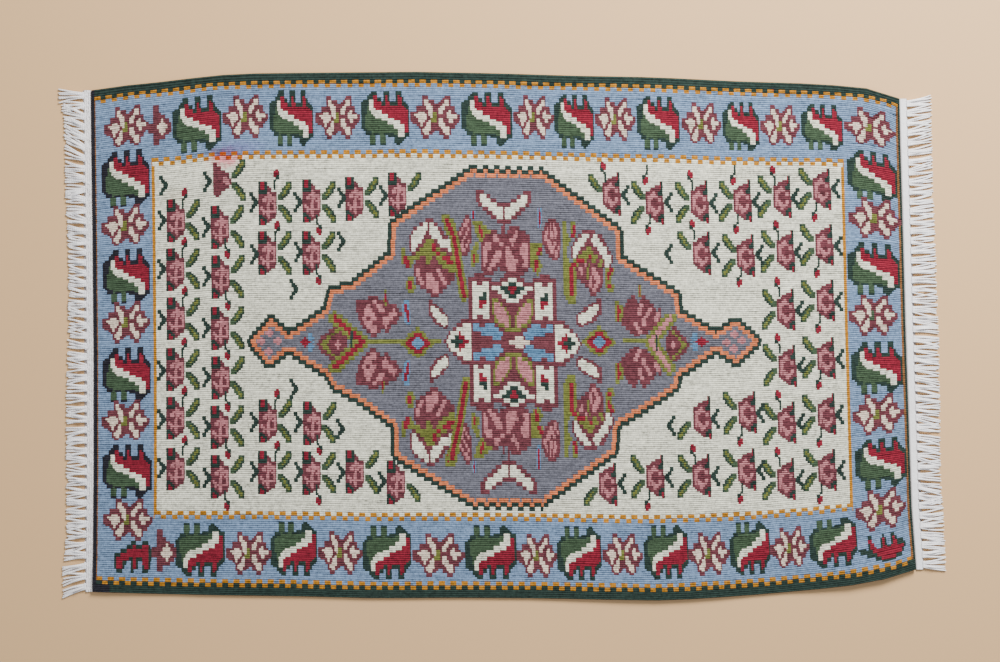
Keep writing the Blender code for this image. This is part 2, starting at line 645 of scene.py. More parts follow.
@dataclass
class RugShape:
    """The web as it lies: its four edges, drawn out of true by the loom, and the places where it lifts."""

    top: Table = (
        (-410, 245.5), (-367, 251.5), (-327, 255), (-292, 260), (-247, 262), (-167, 263), (-87, 264),
        (-7, 262.5), (73, 260), (153, 258.5), (233, 254.5), (313, 252), (358, 248.5), (383, 243), (396, 237),
    )
    bottom: Table = (
        (-408, -255.5), (-367, -257), (-287, -259), (-207, -260), (-127, -262), (-47, -261.5),
        (33, -262), (153, -264), (193, -262.5), (233, -260), (273, -257), (313, -253), (353, -248),
        (393, -240), (413, -233),
    )
    left: Table = ((-408, -255.5), (-407, -134), (-407, -30), (-408, 90), (-410, 245.5))
    right: Table = ((413, -233), (408.5, -170), (406, -94), (402.5, 10), (399.5, 120), (396, 237))
    lifts: Table = (
        # x, y, reach_x, reach_y, rise
        (372, -250, 95, 62, 4.0),
        (392, 240, 80, 50, 2.4),
        (150, -270, 130, 44, 1.8),
        (-230, 272, 150, 46, 2.2),
        (-405, -258, 70, 48, 1.6),
    )

    def long_edge(self, edge: Table, share: np.ndarray) -> tuple[np.ndarray, np.ndarray]:
        """Points on a long edge.

        Args:
            edge: The edge's table.
            share: Shares of its length, from the left end.

        Returns:
            Their x and y in millimetres.
        """
        x = edge[0][0] + share * (edge[-1][0] - edge[0][0])
        return x, np.interp(x, [p[0] for p in edge], [p[1] for p in edge])

    def short_edge(self, edge: Table, share: np.ndarray) -> tuple[np.ndarray, np.ndarray]:
        """Points on a short edge.

        Args:
            edge: The edge's table.
            share: Shares of its length, from the bottom.

        Returns:
            Their x and y in millimetres.
        """
        y = edge[0][1] + share * (edge[-1][1] - edge[0][1])
        return np.interp(y, [p[1] for p in edge], [p[0] for p in edge]), y

    def place(self, u: np.ndarray, v: np.ndarray) -> tuple[np.ndarray, np.ndarray]:
        """Points of the patch that is stretched between the four edges.

        Args:
            u: Shares of the rug's length, from the left.
            v: Shares of its width, from the bottom.

        Returns:
            Their x and y in millimetres.
        """
        low, high = self.long_edge(self.bottom, u), self.long_edge(self.top, u)
        near, far = self.short_edge(self.left, v), self.short_edge(self.right, v)
        both = []
        for axis in (0, 1):
            corners = (
                (self.bottom[0][axis] * (1 - u) + self.bottom[-1][axis] * u) * (1 - v)
                + (self.top[0][axis] * (1 - u) + self.top[-1][axis] * u) * v
            )
            across = low[axis] * (1 - v) + high[axis] * v
            endways = near[axis] * (1 - u) + far[axis] * u
            both.append(across + endways - corners)
        return both[0], both[1]

    def find(self, x: float, y: float) -> tuple[float, float]:
        """The share of the length and of the width at a place, found by closing in on it.

        Args:
            x: Millimetres along the rug.
            y: Millimetres across it.

        Returns:
            The shares u and v.
        """
        length = self.top[-1][0] - self.top[0][0]
        width = self.top[7][1] - self.bottom[5][1]
        u, v = 0.5, 0.5
        for _ in range(12):
            at_x, at_y = self.place(np.float64(u), np.float64(v))
            u += (x - at_x) / length
            v += (y - at_y) / width
        return float(u), float(v)

    def lift(self, x: np.ndarray, y: np.ndarray) -> np.ndarray:
        """How far the web stands off the floor, in millimetres."""
        height = np.zeros_like(x)
        for at_x, at_y, reach_x, reach_y, rise in self.lifts:
            distance = np.minimum(np.hypot((x - at_x) / reach_x, (y - at_y) / reach_y), 1)
            height = np.maximum(height, rise * (1 - distance ** 2) ** 2)
        return height


@dataclass
class Cartoon:
    """The pattern as the weaver counts it: one row a rib from the top, one column a pass from the left."""

    shape: RugShape
    ribs: int = 252
    passes: int = 792
    rib_pitch: float = 2.07
    pass_pitch: float = 1.035
    grid: np.ndarray = field(init=False)

    def __post_init__(self) -> None:
        """Lay the ivory ground."""
        self.grid = np.full((self.ribs, self.passes), BY_LETTER["i"], dtype=np.int8)

    def rib_share(self, rib: float) -> float:
        """How far down the web a rib lies, as a share: the ribs of the top selvedge are the widest."""
        return float(np.interp(rib, (*RIB_STOPS, self.ribs), (*RIB_PLACES, self.ribs))) / self.ribs

    def count(self, x: float, y: float) -> Point:
        """The pass and the rib, with their fractions, at a place in millimetres."""
        u, v = self.shape.find(x, y)
        place = (1 - v) * self.ribs
        return u * self.passes, float(np.interp(place, (*RIB_PLACES, self.ribs), (*RIB_STOPS, self.ribs)))

    def fill(self, ribs: slice, passes: slice, dye: Dye) -> None:
        """Weave a plain block."""
        self.grid[ribs, passes] = BY_LETTER[dye.letter]

    def stamp(
        self,
        chart: Sequence[str],
        centre: Point,
        size: Point | None = None,
        flip: Flip = Flip.NONE,
        swap: Mapping[str, str] | None = None,
    ) -> None:
        """Weave in a charted motif.

        Args:
            chart: Its rows of letters, from the top.
            centre: Its middle in millimetres.
            size: Its length and height in millimetres, or two passes and two ribs a letter.
            flip: Which way it is turned over.
            swap: Letters that stand for other letters here.
        """
        columns, rows = max(len(row) for row in chart), len(chart)
        length, height = size or (columns * 2 * self.pass_pitch, rows * 2 * self.rib_pitch)
        wide, tall = round(length / self.pass_pitch), round(height / self.rib_pitch)
        middle_pass, middle_rib = self.count(*centre)
        first_pass, first_rib = round(middle_pass - wide / 2), round(middle_rib - tall / 2)
        ends, top = flip.value
        for rib in range(tall):
            row = chart[(tall - 1 - rib if top else rib) * rows // tall].ljust(columns, ".")
            for number in range(wide):
                letter = row[(wide - 1 - number if ends else number) * columns // wide]
                if letter != ".":
                    letter = (swap or {}).get(letter, letter)
                    at_rib = min(max(first_rib + rib, 0), self.ribs - 1)
                    at_pass = min(max(first_pass + number, 0), self.passes - 1)
                    self.grid[at_rib, at_pass] = BY_LETTER[letter]

    def fit(
        self, chart: Sequence[str], span: Sequence[float], flip: Flip = Flip.NONE,
        swap: Mapping[str, str] | None = None,
    ) -> None:
        """Weave in a charted motif between the left, right, top and bottom of its span on the picture."""
        left, right, top, bottom = span
        centre = ((left + right) / 2 - PICTURE_ORIGIN[0], PICTURE_ORIGIN[1] - (top + bottom) / 2)
        self.stamp(chart, centre, (right - left, bottom - top), flip, swap)

    def steps(self) -> tuple[np.ndarray, np.ndarray]:
        """The middles of the cartoon's blocks, counted in passes and ribs, for a line in steps of two ribs."""
        ribs = np.arange(self.ribs) // 2 * 2 + 1.0
        return np.meshgrid(np.arange(self.passes) + 0.5, ribs)

    def band(self, points: Sequence[Point], width: float, dye: Dye) -> None:
        """Weave a stepped band along a line.

        Args:
            points: The line's points in millimetres.
            width: The band's width in millimetres.
            dye: Its wool.
        """
        at_pass, at_rib = self.steps()
        counts = [self.count(*point) for point in points]
        for (pass_a, rib_a), (pass_b, rib_b) in zip(counts, counts[1:]):
            ax, ay = pass_a * self.pass_pitch, rib_a * self.rib_pitch
            bx, by = pass_b * self.pass_pitch - ax, rib_b * self.rib_pitch - ay
            x, y = at_pass * self.pass_pitch - ax, at_rib * self.rib_pitch - ay
            share = np.clip((x * bx + y * by) / (bx * bx + by * by), 0, 1)
            near = np.hypot(x - share * bx, y - share * by) < width / 2
            self.grid[near] = BY_LETTER[dye.letter]

    def inside(self, outline: Sequence[Point]) -> np.ndarray:
        """Which blocks lie in an outline given in millimetres."""
        at_pass, at_rib = self.steps()
        counts = [self.count(*point) for point in outline]
        held = np.zeros(self.grid.shape, dtype=bool)
        for (pass_a, rib_a), (pass_b, rib_b) in zip(counts, counts[1:] + counts[:1]):
            if rib_a == rib_b:
                continue
            crosses = (rib_a > at_rib) != (rib_b > at_rib)
            meets = pass_a + (at_rib - rib_a) / (rib_b - rib_a) * (pass_b - pass_a)
            held ^= crosses & (at_pass < meets)
        return held

    def teeth(self, first: int, last: int, rib: int, dye: Dye, gaps: Dye, rest: Dye) -> None:
        """Weave a battlement: a row of teeth and, two ribs below it, the row that fills its gaps.

        Args:
            first: The first pass.
            last: The pass after the last one.
            rib: The first rib.
            dye: The teeth's wool.
            gaps: The wool between the teeth of the upper row.
            rest: The wool between the teeth of the lower row.
        """
        for number in range(first, last):
            upper = (number - first) % TOOTH_PASSES * 2 < TOOTH_PASSES
            self.grid[rib:rib + 2, number] = BY_LETTER[(dye if upper else gaps).letter]
            self.grid[rib + 2:rib + 4, number] = BY_LETTER[(rest if upper else dye).letter]


def grown(mask: np.ndarray, passes: int, ribs: int) -> np.ndarray:
    """A mask spread by so many passes sideways and so many ribs up and down, with half as much at its corners."""
    spread, half = mask.copy(), mask.copy()
    for shift in range(1, passes + 1):
        spread[:, shift:] |= mask[:, :-shift]
        spread[:, :-shift] |= mask[:, shift:]
        if shift * 2 <= passes + 1:
            half |= spread
    for shift in range(1, ribs + 1):
        spread[shift:] |= half[:-shift]
        spread[:-shift] |= half[shift:]
    return spread


@dataclass
class Pattern:
    """The rug's whole pattern, woven into a cartoon from the borders inwards."""

    cartoon: Cartoon
    line_passes: tuple[int, int] = (4, 4)
    line_ribs: int = 2

    def weave(self) -> None:
        """Weave every part of the pattern."""
        self.borders()
        self.border_motifs()
        self.roses()
        self.medallion()
        self.gardens()
        self.cross()

    def borders(self) -> None:
        """The selvedges, the blue border and the gold lines on both sides of it."""
        c = self.cartoon
        top, bottom = SELVEDGE_RIBS
        left, right = SIDE_BORDER_PASSES
        c.fill(slice(0, c.ribs), slice(0, c.passes), Dye.BLUE)
        c.fill(slice(0, top), slice(0, c.passes), Dye.GREEN)
        c.fill(slice(c.ribs - bottom, c.ribs), slice(0, c.passes), Dye.GREEN)
        ends = END_LINE_PASSES, c.passes - END_LINE_PASSES + 1
        c.teeth(*ends, top, Dye.GOLD, Dye.GREEN, Dye.BLUE)
        c.teeth(*ends, c.ribs - bottom - GOLD_RIBS, Dye.GOLD, Dye.BLUE, Dye.GREEN)
        c.fill(slice(top, c.ribs - bottom), slice(0, END_LINE_PASSES), Dye.BLACK)
        c.fill(slice(0, c.ribs), slice(0, END_LINE_PASSES), Dye.BLACK)
        between = slice(top + 2, c.ribs - bottom - 2)
        c.fill(between, slice(END_LINE_PASSES, END_LINE_PASSES + 1), Dye.BRONZE)
        c.fill(slice(c.ribs - bottom, c.ribs), slice(0, DARK_CORNER_PASSES), Dye.BLACK)
        dark = c.passes - 2
        c.fill(slice(top, c.ribs - bottom), slice(dark, c.passes), Dye.GREEN)
        c.fill(between, slice(dark - GOLD_PASSES, dark), Dye.BRONZE)

        low = c.ribs - INNER_GOLD_RIB - GOLD_RIBS
        inner = slice(INNER_GOLD_RIB, low + GOLD_RIBS)
        c.fill(inner, slice(left, left + INNER_LINE_PASSES), Dye.GOLD)
        c.fill(inner, slice(c.passes - right - INNER_LINE_PASSES, c.passes - right), Dye.GOLD)
        field_passes = slice(left + INNER_LINE_PASSES, c.passes - right - INNER_LINE_PASSES)
        c.fill(inner, field_passes, Dye.IVORY)
        c.teeth(left + 1, c.passes - right - 1, INNER_GOLD_RIB, Dye.GOLD, Dye.BLUE, Dye.IVORY)
        c.teeth(left + 1, c.passes - right - 1, low, Dye.GOLD, Dye.IVORY, Dye.BLUE)

    def border_motifs(self) -> None:
        """The animals and star flowers of the border."""
        fit = self.cartoon.fit
        for span in TOP_ANIMALS + RIGHT_ANIMALS:
            fit(ANIMAL, span)
        for span in LEFT_ANIMALS:
            fit(ANIMAL, span, swap={"g": "k"})
        for span in BOTTOM_ANIMALS:
            fit(ANIMAL, span, Flip.TOP)
        for span in TOP_STARS + BOTTOM_STARS + LEFT_STARS + RIGHT_STARS:
            fit(STAR, span)
        fit(STAR, RIGHT_STARS[1], swap={"o": "G"})
        fit(HALF_STAR, UPPER_HALF_STAR)
        fit(HALF_STAR, LOWER_HALF_STAR)
        fit(HALF_ANIMAL, LEFT_HALF_ANIMAL)
        fit(LYING_ANIMAL, RIGHT_HALF_ANIMAL)

    def roses(self) -> None:
        """The rows of roses on the ivory ground, with their leaves, twigs and buds."""
        for column, (x, places) in enumerate(LEFT_ROSE_COLUMNS):
            for y in places:
                self.rose((x, y), right=False, bud_above=column % 2 == 0)
        stamp = self.cartoon.stamp
        stamp(PLAIN_ROSE, (-279.5, 155), (19, 35))
        self.leaves((-280, 155), right=False)
        for place, bud_above in (((-147, 137), True), ((-147, -136.5), False)):
            self.rose(place, right=False, bud_above=bud_above, bud=False)
        self.rose((-105, 141), right=False, bud_above=True, bud=False, leaves=(True, False))
        self.rose((-106, -146), right=False, bud_above=True, bud=False, leaves=(False, True))
        for place in RIGHT_ROSES_BUD_ABOVE:
            leaves = RIGHT_LONE_LEAVES.get(place, (True, True))
            self.rose(place, right=True, bud_above=True, bud=place not in BUDLESS, leaves=leaves)
        for x, y in HANGING_BUDS:
            stamp(BUD, (x, y), BUD_SIZE, Flip.BOTH)
        for place in RIGHT_ROSES_BUD_BELOW:
            self.rose(place, right=True, bud_above=False)
        for place in LONE_TWIGS:
            stamp(TWIG, place, TWIG_SIZE)
        for place in LONE_TWIGS_RIGHT:
            stamp(TWIG, place, TWIG_SIZE, Flip.ENDS)

    def rose(
        self,
        place: Point,
        right: bool,
        bud_above: bool,
        bud: bool = True,
        leaves: tuple[bool, bool] = (True, True),
    ) -> None:
        """One rose with what grows from it.

        Args:
            place: Its middle in millimetres.
            right: Whether it is one of the right half, which faces left.
            bud_above: Whether its bud stands above it or hangs below it.
            bud: Whether it has a bud.
            leaves: Whether it has its upper and its lower leaf.
        """
        stamp = self.cartoon.stamp
        stamp(PALE_ROSE if right else ROSE, place, PALE_ROSE_SIZE if right else ROSE_SIZE)
        self.leaves(place, right, leaves)
        if bud:
            x, y = place
            side = -1 if right else 1
            ends = Flip.ENDS if right else Flip.NONE
            if bud_above:
                stamp(BUD, (x + side * 9.3, y + 22.5), BUD_SIZE, ends)
            else:
                both = Flip.BOTH if right else Flip.TOP
                stamp(BUD, (x + side * 7.5, y - 22.5), BUD_SIZE, both)

    def leaves(self, place: Point, right: bool, leaves: tuple[bool, bool] = (True, True)) -> None:
        """The two leaves behind a rose and the twig in front of it."""
        stamp = self.cartoon.stamp
        x, y = place
        side = -1 if right else 1
        if leaves[0]:
            stamp(LEAF, (x + side * 17.3, y + 12), LEAF_SIZE, Flip.ENDS if right else Flip.NONE)
        if leaves[1]:
            stamp(LEAF, (x + side * 17.3, y - 11.5), LEAF_SIZE, Flip.BOTH if right else Flip.TOP)
        stamp(TWIG, (x - side * 13.5, y), TWIG_SIZE, Flip.ENDS if right else Flip.NONE)

    def medallion(self) -> None:
        """The slate medallion in its green and orange lines."""
        c = self.cartoon
        green, orange = self.line_passes
        whole = c.inside(MEDALLION)
        hollow = ~grown(~whole, orange, self.line_ribs)
        rim = grown(whole, green, self.line_ribs) & ~whole
        c.grid[rim] = BY_LETTER["g"]
        c.grid[whole] = BY_LETTER["a"]
        c.grid[hollow] = BY_LETTER["s"]
        for x_from, x_to, y in MEDALLION_FLATS:
            first, rib = c.count(x_from, y)
            last = c.count(x_to, y)[0]
            self.flat_teeth(round(first), round(last), round(rib), upper=y > 0)

    def flat_teeth(self, first: int, last: int, rib: int, upper: bool) -> None:
        """The battlement along the flat top or bottom of the medallion.

        Args:
            first: The first pass.
            last: The pass after the last one.
            rib: The rib of the medallion's edge there.
            upper: Whether it is the top.
        """
        grid = self.cartoon.grid
        inward = 1 if upper else -1
        edge = rib // 2 * 2
        for number in range(first, last):
            phase = (number - first) % TOOTH_PASSES
            rows = ("g" if phase < 6 else "i", "a" if 1 <= phase < 5 else "g", "s" if 2 <= phase < 4 else "a")
            for step, letter in enumerate(rows):
                at = edge + inward * 2 * (step - 1)
                grid[at:at + 2, number] = BY_LETTER[letter]

    def gardens(self) -> None:
        """The flowers, leaves, stems and small diamonds inside the medallion."""
        c = self.cartoon
        stamp = c.stamp
        stamp(LEAF_PAIR, (1.6, 121.4))
        stamp(LEAF_PAIR, (6.5, -134.5), (57, 48), Flip.TOP)
        for chart, upper, lower, size in (
            (GARDEN_LEFT, (-72, 78.4), (-71.5, -91), (58, 78.7)),
            (GARDEN_RIGHT, (86.2, 73), (87.3, -81), (52, 82.8)),
            (MIDDLE_ROSE, (5, 87), (5, -95), (72.5, 53.8)),
            (SLANTED_BUD, (-37.5, 99.5), (-37.5, -107), (14.5, 41.4)),
            (ROUND_BUD, (49.8, 96.7), (48.8, -104), (19.5, 40.5)),
            (SIDE_ROSE, (-122.8, 18.6), (-123.3, -32.5), (47, 41)),
            (TULIP, (138, 20.5), (138.5, -32), (42, 41)),
            (CREAM_LEAF, (-63.5, 22.5), (-63, -33), (20, 29)),
            (BRACKET, (-96, 23.5), (-96, -36.5), (8.3, 24)),
            (SPRIG, (117, 24.5), (117, -38), (8, 21)),
        ):
            stamp(chart, upper, size)
            stamp(chart, lower, size, Flip.TOP)
        for points in (((-56, 117), (-48, 98.5), (-38, 40)), ((-35.8, -46.5), (-42, -84), (-50, -122))):
            c.band(points, 9.3, Dye.OLIVE)
            c.band(points, 4.2, Dye.RED)
        stamp(CREAM_LEAF, (87, 22), (26, 28), Flip.ENDS)
        stamp(CREAM_LEAF, (87, -33), (26, 27), Flip.BOTH)
        stamp(ARROW_DIAMOND, (-168, -6.8), (35, 38))
        stamp(ARROW_DIAMOND, (174.5, -7), (26, 35), Flip.ENDS)
        for points, core in (
            (((-167, 17.5), (-139, -6), (-167, -31.5)), Dye.RED),
            (((168, 17.5), (148.5, -6), (167, -32)), Dye.PINK),
        ):
            c.band(points, 13, Dye.OLIVE)
            c.band(points, 5, core)
        for x, y in ((-150, 2.5), (154.4, -0.4)):
            c.band(((x, y), (x, y - 12)), 2.2, Dye.GREEN)
        for x_from, x_to in ((-134, -95), (-75, -62), (75, 85), (109, 142)):
            c.band(((x_from, -6), (x_to, -6)), 3, Dye.OLIVE)
        for x in (-84.9, 96.6):
            stamp(SMALL_DIAMOND, (x, -6), (34, 30.5))
        stamp(RED_CROSS, (-194, -6.4), (15, 18.6))
        stamp(RED_CROSS, (197.7, -6.4), (18.6, 18.6), Flip.ENDS)
        for place in (
            (-232.7, 3.1), (-240, -6), (-224.1, -6), (-232.7, -15.4),
            (231.6, 2.4), (224.4, -6), (239.4, -4.7), (231.6, -13.3),
        ):
            stamp(PINK_DIAMOND, place, (8.3, 8.3))
        for x, y_from, y_to in ((-28.8, 124, 119), (37.4, 125, 110), (-27.5, -127, -134), (37, -112, -131)):
            c.band(((x, y_from), (x, y_to)), 4, Dye.SKY)
            c.band(((x, y_from), (x, y_to)), 2, Dye.RED)
        for x, y_from, y_to in ((-116.3, 43.5, 33), (-119, -45.6, -55), (137.5, 50, 40)):
            c.band(((x, y_from), (x, y_to)), 3, Dye.OLIVE)
            c.band(((x, y_from), (x, y_to)), 1.5, Dye.RED)

    def cross(self) -> None:
        """The cross in the middle."""
        stamp = self.cartoon.stamp
        stamp(mirrored_cross(), (10.8, -5.8), (140, 136.6))
        stamp(CROSS_HEART, (17.7, -5.5))
        for x in (-19.3, 42.3):
            stamp(PANEL_SEED, (x, 35.1), (8.3, 17))
            stamp(PANEL_SEED, (x, -45.5), (8.3, 17), Flip.TOP)


# Shaders

Feed = Any


class Signal:
    """A number or colour in a shader. Its operators add Math nodes."""

    def __init__(self, shop: "NodeShop", socket: bpy.types.NodeSocket | None) -> None:
        """Wrap a socket."""
        self.shop = shop
        self.socket = socket

    def math(self, operation: str, *values: Feed) -> "Signal":
        """The result of one Math node on this signal and other values."""
        feeds = {number: value for number, value in enumerate((self, *values))}
        return self.shop.node("ShaderNodeMath", {"operation": operation}, feeds)

    def __add__(self, other: Feed) -> "Signal":
        """Sum."""
        return self.math("ADD", other)

    __radd__ = __add__

    def __mul__(self, other: Feed) -> "Signal":
        """Product."""
        return self.math("MULTIPLY", other)

    __rmul__ = __mul__

    def __sub__(self, other: Feed) -> "Signal":
        """Difference."""
        return self.math("SUBTRACT", other)

    def __rsub__(self, other: Feed) -> "Signal":
        """Difference from a number."""
        return self.shop.node("ShaderNodeMath", {"operation": "SUBTRACT"}, {0: other, 1: self})

    def __truediv__(self, other: Feed) -> "Signal":
        """Quotient."""
        return self.math("DIVIDE", other)

    def __pow__(self, other: Feed) -> "Signal":
        """Power."""
        return self.math("POWER", other)

    def smooth(self, low: float, high: float) -> "Signal":
        """0 below the low value, 1 above the high one, with a smooth rise between them."""
        settings = {"interpolation_type": "SMOOTHSTEP"}
        feeds = {"Value": self, "From Min": low, "From Max": high}
        return self.shop.node("ShaderNodeMapRange", settings, feeds)


class NodeShop:
    """One material's node tree, and the one method that adds a node to it."""

    def __init__(self, name: str) -> None:
        """Start an empty material."""
        self.material = bpy.data.materials.new(name)
        self.material.use_nodes = True
        self.tree = self.material.node_tree
        self.tree.nodes.clear()

    def node(
        self, kind: str, settings: Mapping[str, Any] | None = None,
        feeds: Mapping[Any, Feed] | None = None, output: Any = 0,
    ) -> Signal:
        """Add a node.

        Args:
            kind: The node's type.
            settings: Its settings, which are set first.
            feeds: Values or signals for its sockets, by name or number.
            output: The output that is wanted, by name or number.

        Returns:
            That output, or an empty signal for a node that has none.
        """
        made = self.tree.nodes.new(kind)
        for name, value in (settings or {}).items():
            setattr(made, name, value)
        for name, value in (feeds or {}).items():
            if isinstance(value, Signal):
                self.tree.links.new(value.socket, made.inputs[name])
            else:
                made.inputs[name].default_value = value
        return Signal(self, made.outputs[output] if made.outputs else None)

    def parts(self, vector: Signal) -> tuple[Signal, Signal, Signal]:
        """The three parts of a vector."""
        split = self.node("ShaderNodeSeparateXYZ", feeds={"Vector": vector})
        outputs = split.socket.node.outputs
        return Signal(self, outputs[0]), Signal(self, outputs[1]), Signal(self, outputs[2])

    def vector(self, x: Feed = 0.0, y: Feed = 0.0, z: Feed = 0.0) -> Signal:
        """A vector from its three parts."""
        return self.node("ShaderNodeCombineXYZ", feeds={0: x, 1: y, 2: z})

    def noise(self, vector: Signal, scale: float = 1.0, detail: float = 2.0) -> Signal:
        """Smooth noise from 0 to 1."""
        feeds = {"Vector": vector, "Scale": scale, "Detail": detail}
        return self.node("ShaderNodeTexNoise", {"noise_dimensions": "3D"}, feeds)

    def chance(self, vector: Signal) -> Signal:
        """A random number from 0 to 1 for each whole place."""
        return self.node("ShaderNodeTexWhiteNoise", {"noise_dimensions": "3D"}, {"Vector": vector})

    def mix(self, factor: Feed, first: Feed, second: Feed, blend: str = "MIX") -> Signal:
        """Two colours mixed."""
        settings = {"data_type": "RGBA", "blend_type": blend}
        return self.node("ShaderNodeMix", settings, {0: factor, 6: first, 7: second}, output=2)

    def grey(self, value: Feed) -> Signal:
        """A number as a grey colour, for tinting."""
        return self.node("ShaderNodeCombineColor", feeds={0: value, 1: value, 2: value})

    def finish(self, feeds: Mapping[Any, Feed]) -> bpy.types.Material:
        """Close the tree with a principled shader and an output."""
        shader = self.node("ShaderNodeBsdfPrincipled", feeds=feeds)
        self.node("ShaderNodeOutputMaterial", feeds={"Surface": shader})
        return self.material


@dataclass(frozen=True)
class TapestryWool:
    """Dyed wool weft beaten down over the warps: ribs along the rug, and fine passes across each rib."""

    rib: float = 2.07 * MM
    stitch: float = 1.035 * MM
    roughness: float = 0.95
    sheen: float = 0.03
    # How strongly the grooves between the ribs are darkened: painted shade.
    groove_shade: float = 1.0
    streaks: float = 1.0

    def material(self) -> bpy.types.Material:
        """The wool's material."""
        shop = NodeShop("tapestry_wool")
        dye = shop.node("ShaderNodeAttribute", {"attribute_name": "dye"}, output="Color")
        uv = shop.node("ShaderNodeUVMap", {"uv_map": "weave"})
        along, across, _ = shop.parts(uv)
        rib = across / self.rib
        in_rib = rib.math("FRACT")
        number = rib.math("FLOOR")
        offset = number.math("MODULO", 2.0) * 0.5
        pick = along / self.stitch + offset
        in_pick = pick.math("FRACT")

        # crest is 1 on the top of a rib and 0 in its grooves; it shapes both the bump and the painted groove
        # shade.
        crest = 1 - ((in_rib - 0.5).math("ABSOLUTE") * 2) ** 2.2
        turn = ((in_pick - 0.5).math("ABSOLUTE") * 2) ** 2
        pick_tone = shop.chance(shop.vector(pick.math("FLOOR"), number))
        rib_noise = shop.noise(shop.vector(along * 240, number * 7.3), detail=3)
        seam = (rib + 0.5).math("FLOOR")
        # depth: how dark the painted shade in each groove is, varying along the groove.
        depth = shop.noise(shop.vector(along * 100, seam * 5.1), detail=2).smooth(0.33, 0.66) * 0.55 + 0.42
        lot_noise = shop.noise(shop.vector(along * 9, across * 60), detail=2)
        fibre = shop.noise(shop.vector(along * 900, across * 2600), detail=3)

        # Painted shade: darker in the grooves between the ribs and a little at the turns of each pick; the noises
        # add random tone of the wool.
        tone = (
            1 - self.groove_shade * depth * (1 - crest)
            + (pick_tone - 0.5) * 0.24
            + (rib_noise - 0.5) * self.streaks
            + (lot_noise - 0.5) * 0.3
            + (fibre - 0.5) * 0.25
            - turn * 0.05
        )
        colour = shop.mix(1.0, dye, shop.grey(tone), "MULTIPLY")
        height = crest * 0.5 + (1 - turn) * 0.35 + fibre * 0.5
        bump = shop.node(
            "ShaderNodeBump", feeds={"Strength": 0.6, "Distance": 0.0004, "Height": height}, output="Normal",
        )
        return shop.finish({
            "Base Color": self.stained(shop, colour),
            "Roughness": self.roughness,
            "Sheen Weight": self.sheen,
            "Sheen Roughness": 0.6,
            "Specular IOR Level": 0.08,
            "Normal": bump,
        })

    def stained(self, shop: NodeShop, colour: Signal) -> Signal:
        """Add the pink stain on the upper left of the ivory ground and the grey smudge beside it."""
        spot = shop.node("ShaderNodeTexCoord", output="Object")
        for x, y, reach_x, reach_y, strength, tint in (
            (-277.5, 178, 22, 13, 1.0, (1.0, 0.33, 0.45, 1)),
            (-264, 187, 32, 12, 0.8, (1.0, 0.76, 0.97, 1)),
            (-324, 140, 15, 10, 0.5, (0.75, 0.68, 0.6, 1)),
            (394, 118, 5, 4, 0.9, (0.95, 0.6, 0.9, 1)),
            (270.5, 246, 4, 3, 0.8, (0.9, 0.45, 0.8, 1)),
        ):
            at_x, at_y, _ = shop.parts(spot)
            far_x = (at_x - x * MM) / (reach_x * MM)
            far_y = (at_y - y * MM) / (reach_y * MM)
            ragged = shop.noise(spot, 300.0) * 1.2
            distance = (far_x * far_x + far_y * far_y).math("SQRT") + ragged
            inside = (1 - distance.smooth(0.7, 1.7)) * strength
            colour = shop.mix(inside, colour, tint, "MULTIPLY")
        return colour


@dataclass(frozen=True)
class CottonYarn:
    """Undyed cotton warp yarn, plied, with painted shade in its ply grooves and where it lies low near the floor.
    """

    name: str = "cotton_yarn"
    colour: tuple[float, float, float, float] = (0.93, 0.92, 0.94, 1)
    shade: tuple[float, float, float, float] = (0.33, 0.28, 0.26, 1)
    ply_pitch: float = 2.4 * MM
    roughness: float = 0.9

    def material(self) -> bpy.types.Material:
        """The cotton's material."""
        shop = NodeShop(self.name)
        uv = shop.node("ShaderNodeUVMap", {"uv_map": "yarn"})
        along, around, _ = shop.parts(uv)
        ply = ((along / self.ply_pitch + around * 2).math("FRACT") - 0.5).math("ABSOLUTE") * 2
        spot = shop.node("ShaderNodeTexCoord", output="Object")
        fibre = shop.noise(spot, 1800.0, 3.0)
        patches = shop.noise(spot, 90.0, 2.0)
        _, _, height = shop.parts(spot)
        # Painted shade: the lower a point lies, the darker it is, as if shaded near the floor.
        low = 1 - height.smooth(0.5 * MM, 1.8 * MM)
        # Painted shade in the ply grooves and near the floor, mixed with random lighter and darker patches.
        shade_and_patches = ((ply ** 3) * 0.1 + (patches - 0.5) * 0.45 + low * 0.95).math("MAXIMUM", 0.0)
        shade_and_patches = shade_and_patches.math("MINIMUM", 1.0)
        colour = shop.mix(shade_and_patches, self.colour, self.shade)
        bump = shop.node(
            "ShaderNodeBump", output="Normal",
            feeds={"Strength": 0.35, "Distance": 0.0004, "Height": (1 - ply ** 2) + fibre * 0.6},
        )
        return shop.finish({
            "Base Color": colour,
            "Roughness": self.roughness,
            "Sheen Weight": 0.1,
            "Specular IOR Level": 0.25,
            "Normal": bump,
        })


@dataclass(frozen=True)
class PlainFloor:
    """The plain pale floor under the rug."""

    colour: tuple[float, float, float, float] = (0.67, 0.42, 0.205, 1)

    def material(self) -> bpy.types.Material:
        """The floor's material."""
        shop = NodeShop("floor")
        return shop.finish({"Base Color": self.colour, "Roughness": 0.7})


# Pieces

def keep(name: str, mesh: bpy.types.Mesh, material: bpy.types.Material) -> bpy.types.Object:
    """Make an object of a finished mesh.

    Args:
        name: The piece's name.
        mesh: Its mesh, in the row frame.
        material: Its finish.

    Returns:
        The object, linked to the scene.
    """
    piece = bpy.data.objects.new(name, mesh)
    bpy.context.scene.collection.objects.link(piece)
    mesh.materials.append(material)
    return piece


def smooth(piece: bpy.types.Object, degrees: float) -> None:
    """Shade a piece smooth, with edges sharper than an angle left crisp."""
    bpy.ops.object.select_all(action="DESELECT")
    piece.select_set(True)
    bpy.context.view_layer.objects.active = piece
    bpy.ops.object.shade_smooth_by_angle(angle=math.radians(degrees))
    piece.select_set(False)


